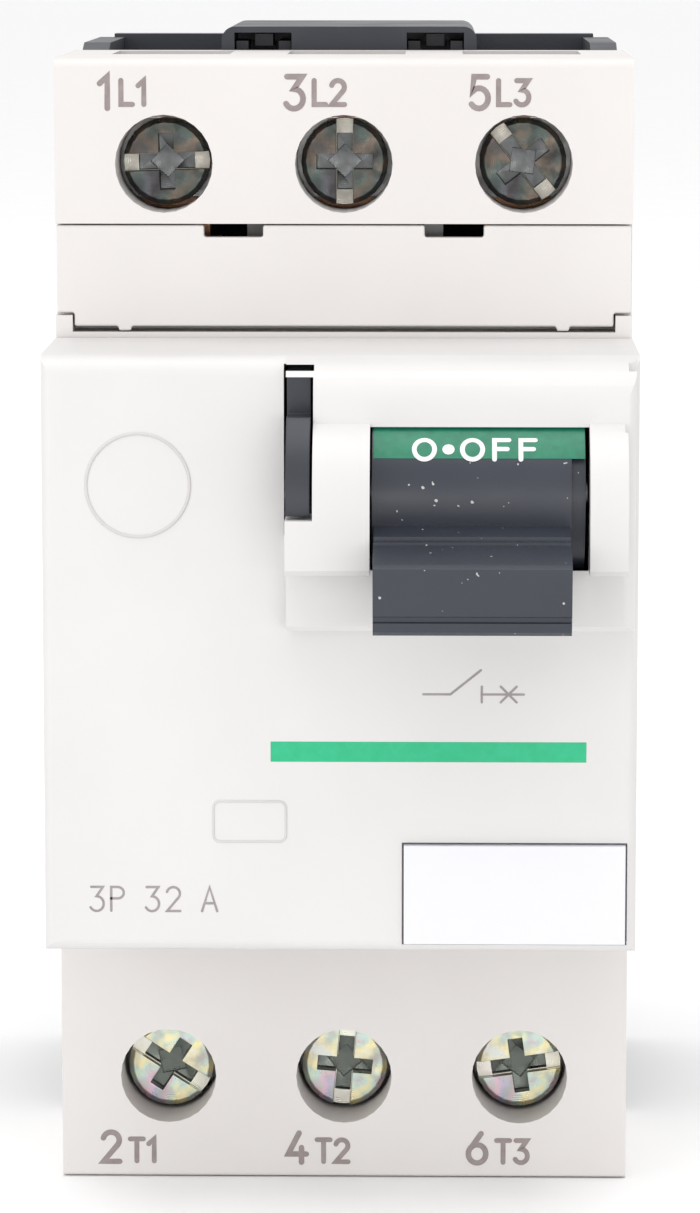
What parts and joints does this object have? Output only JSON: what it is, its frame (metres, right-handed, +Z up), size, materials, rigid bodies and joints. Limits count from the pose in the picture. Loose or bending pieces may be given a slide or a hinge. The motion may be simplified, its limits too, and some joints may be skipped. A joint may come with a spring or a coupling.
{
  "type": "motor protection breaker",
  "caption": "Rail-mounted motor protection breaker with a rocker, screw clamp terminals above and below, a snap-in accessory cover and a full contact, trip and latch mechanism.",
  "frame": {"origin": "centre of the face that rests on the mounting rail, at mid height of the rail channel", "axes": "+X to the right seen from the front, +Y to the rear into the rail, +Z up; the rocker's side faces -Y"},
  "size_m": [0.045, 0.0775, 0.0909],
  "materials": {
    "cover_white": "fine-textured off-white moulding",
    "housing_ivory": "fine-textured warm off-white moulding",
    "label_white": "smooth bluish-white marker plate",
    "base_grey": "dark slate grey moulding",
    "rocker_grey": "dark slate grey moulding, slightly glossier than the base",
    "zinc": "zinc-plated, lightly passivated",
    "steel": "stamped and tumbled steel",
    "spring_steel": "drawn spring wire",
    "copper": "bare stamped copper",
    "carrier_brown": "filled thermoset moulding",
    "fibre": "splitter plates in fibre cheeks"
  },
  "bodies": {
    "case": {"rear_base": "base_grey", "housing": "housing_ivory", "front_cover": "cover_white", "mechanism_frame": "steel", "latch_pin": "steel", "line_busbar_1": "copper", "line_busbar_2": "copper", "line_busbar_3": "copper", "fixed_contact_1": "copper", "fixed_contact_2": "copper", "fixed_contact_3": "copper", "load_busbar_1": "copper", "load_busbar_2": "copper", "load_busbar_3": "copper", "arc_chute_1": "fibre", "arc_chute_2": "fibre", "arc_chute_3": "fibre", "coil_1": "copper", "coil_2": "copper", "coil_3": "copper", "case_screw_1": "zinc", "case_screw_2": "zinc", "case_screw_3": "zinc", "case_screw_4": "zinc", "opening_spring_left": "spring_steel", "opening_spring_right": "spring_steel", "rail_clip_spring": "spring_steel"},
    "accessory_cover": {"accessory_cover": "housing_ivory"},
    "marker_plate": {"marker_plate": "label_white"},
    "rocker": {"rocker": "rocker_grey", "rocker_shaft": "steel", "side_lever": "base_grey", "crank_pin": "steel"},
    "contact_carrier": {"contact_carrier": "carrier_brown", "drive_yoke": "steel", "contact_bridge_1": "copper", "contact_bridge_2": "copper", "contact_bridge_3": "copper", "contact_spring_1": "spring_steel", "contact_spring_2": "spring_steel", "contact_spring_3": "spring_steel"},
    "trip_bar": {"trip_bar": "carrier_brown"},
    "latch_lever": {"latch_lever": "steel"},
    "rail_clip": {"rail_clip": "base_grey"},
    "plunger_1": {"plunger_1": "zinc"},
    "plunger_2": {"plunger_2": "zinc"},
    "plunger_3": {"plunger_3": "zinc"},
    "terminal_screw_upper_1": {"terminal_screw_upper_1": "zinc"},
    "terminal_screw_upper_2": {"terminal_screw_upper_2": "zinc"},
    "terminal_screw_upper_3": {"terminal_screw_upper_3": "zinc"},
    "terminal_screw_lower_1": {"terminal_screw_lower_1": "zinc"},
    "terminal_screw_lower_2": {"terminal_screw_lower_2": "zinc"},
    "terminal_screw_lower_3": {"terminal_screw_lower_3": "zinc"},
    "terminal_cage_upper_1": {"terminal_cage_upper_1": "steel"},
    "terminal_cage_upper_2": {"terminal_cage_upper_2": "steel"},
    "terminal_cage_upper_3": {"terminal_cage_upper_3": "steel"},
    "terminal_cage_lower_1": {"terminal_cage_lower_1": "steel"},
    "terminal_cage_lower_2": {"terminal_cage_lower_2": "steel"},
    "terminal_cage_lower_3": {"terminal_cage_lower_3": "steel"}
  },
  "joints": [
    {"name": "rocker_turn", "type": "hinge", "parent": "case", "child": "rocker", "pos_m": [0, -0.0581, 0.01225], "axis": [-1, 0, 0], "range_deg": [0, 55]},
    {"name": "carrier_slide", "type": "slide", "parent": "case", "child": "contact_carrier", "axis": [0, 1, 0], "range_m": [0, 0.00426], "deforming": ["opening_spring_left", "opening_spring_right"]},
    {"name": "trip_bar_turn", "type": "hinge", "parent": "case", "child": "trip_bar", "pos_m": [0, -0.0345, -0.0165], "axis": [-1, 0, 0], "range_deg": [0, 12], "stiffness_Nm_per_rad": 0.0005},
    {"name": "latch_turn", "type": "hinge", "parent": "case", "child": "latch_lever", "pos_m": [0, -0.042, -0.002], "axis": [1, 0, 0], "range_deg": [0, 7.3]},
    {"name": "rail_clip_slide", "type": "slide", "parent": "case", "child": "rail_clip", "axis": [0, 0, -1], "range_m": [0, 0.005], "stiffness_N_per_m": 300, "deforming": ["rail_clip_spring"]},
    {"name": "accessory_cover_pull", "type": "slide", "parent": "case", "child": "accessory_cover", "axis": [0, -1, 0], "range_m": [0, 0.005]},
    {"name": "marker_plate_pull", "type": "slide", "parent": "case", "child": "marker_plate", "axis": [0, -1, 0], "range_m": [0, 0.004]},
    {"name": "plunger_strike_1", "type": "slide", "parent": "case", "child": "plunger_1", "axis": [0, -1, 0], "range_m": [0, 0.002], "stiffness_N_per_m": 40},
    {"name": "plunger_strike_2", "type": "slide", "parent": "case", "child": "plunger_2", "axis": [0, -1, 0], "range_m": [0, 0.002], "stiffness_N_per_m": 40},
    {"name": "plunger_strike_3", "type": "slide", "parent": "case", "child": "plunger_3", "axis": [0, -1, 0], "range_m": [0, 0.002], "stiffness_N_per_m": 40},
    {"name": "screw_turn_upper_1", "type": "hinge", "parent": "case", "child": "terminal_screw_upper_1", "pos_m": [-0.014, -0.041, 0.0363], "axis": [0, 1, 0], "range_deg": [0, 1984]},
    {"name": "cage_slide_upper_1", "type": "slide", "parent": "case", "child": "terminal_cage_upper_1", "axis": [0, -1, 0], "range_m": [0, 0.00385]},
    {"name": "screw_turn_upper_2", "type": "hinge", "parent": "case", "child": "terminal_screw_upper_2", "pos_m": [0, -0.041, 0.0363], "axis": [0, 1, 0], "range_deg": [0, 1984]},
    {"name": "cage_slide_upper_2", "type": "slide", "parent": "case", "child": "terminal_cage_upper_2", "axis": [0, -1, 0], "range_m": [0, 0.00385]},
    {"name": "screw_turn_upper_3", "type": "hinge", "parent": "case", "child": "terminal_screw_upper_3", "pos_m": [0.014, -0.041, 0.0363], "axis": [0, 1, 0], "range_deg": [0, 1984]},
    {"name": "cage_slide_upper_3", "type": "slide", "parent": "case", "child": "terminal_cage_upper_3", "axis": [0, -1, 0], "range_m": [0, 0.00385]},
    {"name": "screw_turn_lower_1", "type": "hinge", "parent": "case", "child": "terminal_screw_lower_1", "pos_m": [-0.014, -0.041, -0.0363], "axis": [0, 1, 0], "range_deg": [0, 1984]},
    {"name": "cage_slide_lower_1", "type": "slide", "parent": "case", "child": "terminal_cage_lower_1", "axis": [0, -1, 0], "range_m": [0, 0.00385]},
    {"name": "screw_turn_lower_2", "type": "hinge", "parent": "case", "child": "terminal_screw_lower_2", "pos_m": [0, -0.041, -0.0363], "axis": [0, 1, 0], "range_deg": [0, 1984]},
    {"name": "cage_slide_lower_2", "type": "slide", "parent": "case", "child": "terminal_cage_lower_2", "axis": [0, -1, 0], "range_m": [0, 0.00385]},
    {"name": "screw_turn_lower_3", "type": "hinge", "parent": "case", "child": "terminal_screw_lower_3", "pos_m": [0.014, -0.041, -0.0363], "axis": [0, 1, 0], "range_deg": [0, 1984]},
    {"name": "cage_slide_lower_3", "type": "slide", "parent": "case", "child": "terminal_cage_lower_3", "axis": [0, -1, 0], "range_m": [0, 0.00385]}
  ],
  "couplings": [
    {"joint": "carrier_slide", "follows": "rocker_turn", "m_per_rad": 0.0044254},
    {"joint": "latch_turn", "follows": "trip_bar_turn", "ratio": 0.6},
    {"joint": "screw_turn_upper_1", "follows": "cage_slide_upper_1", "rad_per_m": 8975.9},
    {"joint": "screw_turn_upper_2", "follows": "cage_slide_upper_2", "rad_per_m": 8975.9},
    {"joint": "screw_turn_upper_3", "follows": "cage_slide_upper_3", "rad_per_m": 8975.9},
    {"joint": "screw_turn_lower_1", "follows": "cage_slide_lower_1", "rad_per_m": 8975.9},
    {"joint": "screw_turn_lower_2", "follows": "cage_slide_lower_2", "rad_per_m": 8975.9},
    {"joint": "screw_turn_lower_3", "follows": "cage_slide_lower_3", "rad_per_m": 8975.9}
  ]
}
